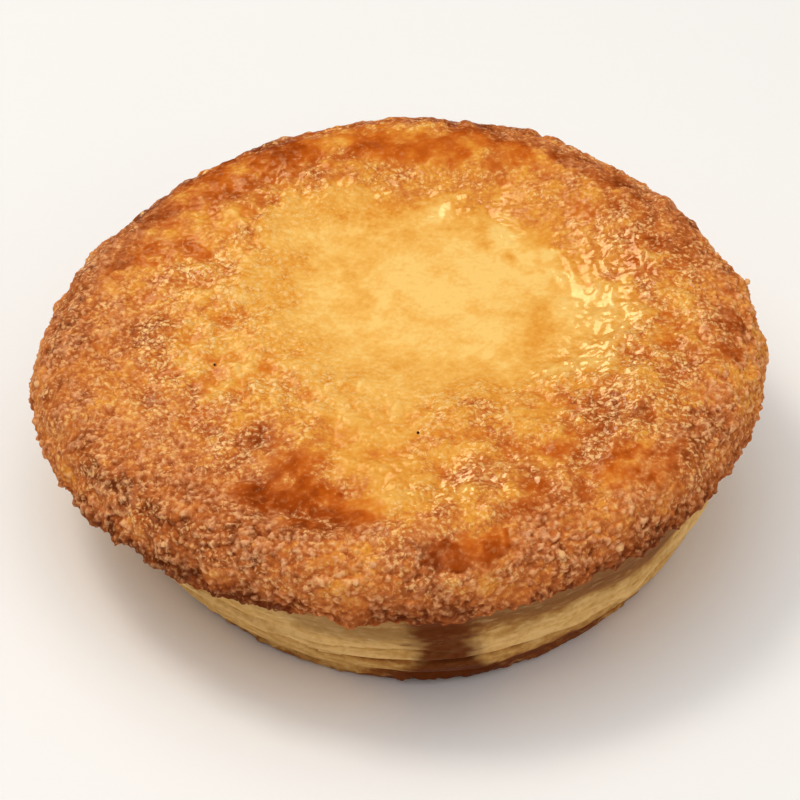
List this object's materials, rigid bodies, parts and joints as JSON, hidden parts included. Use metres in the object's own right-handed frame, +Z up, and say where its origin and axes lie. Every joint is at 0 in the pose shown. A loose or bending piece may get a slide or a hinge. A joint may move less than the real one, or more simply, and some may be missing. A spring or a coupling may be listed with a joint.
{
  "type": "creme brulee tart",
  "caption": "Round individual tart: a tapered case of laminated pastry under a thick caramelised custard crust with a crumbly browned rim that overhangs it.",
  "frame": {"origin": "middle of the flat foot that the tart stands on", "axes": "+Z up through the tart, -Y towards the front of the tart as pictured, +X to the right of that view, where the crust rose highest"},
  "size_m": [0.1016, 0.1004, 0.032],
  "materials": {
    "pastry": "matt, pale baked puff pastry, brown at its base",
    "caramel_crust": "baked custard and crumb under a thin glossy caramel glaze"
  },
  "bodies": {
    "root": {"pastry_case": "pastry", "brulee_crust": "caramel_crust"}
  },
  "joints": []
}
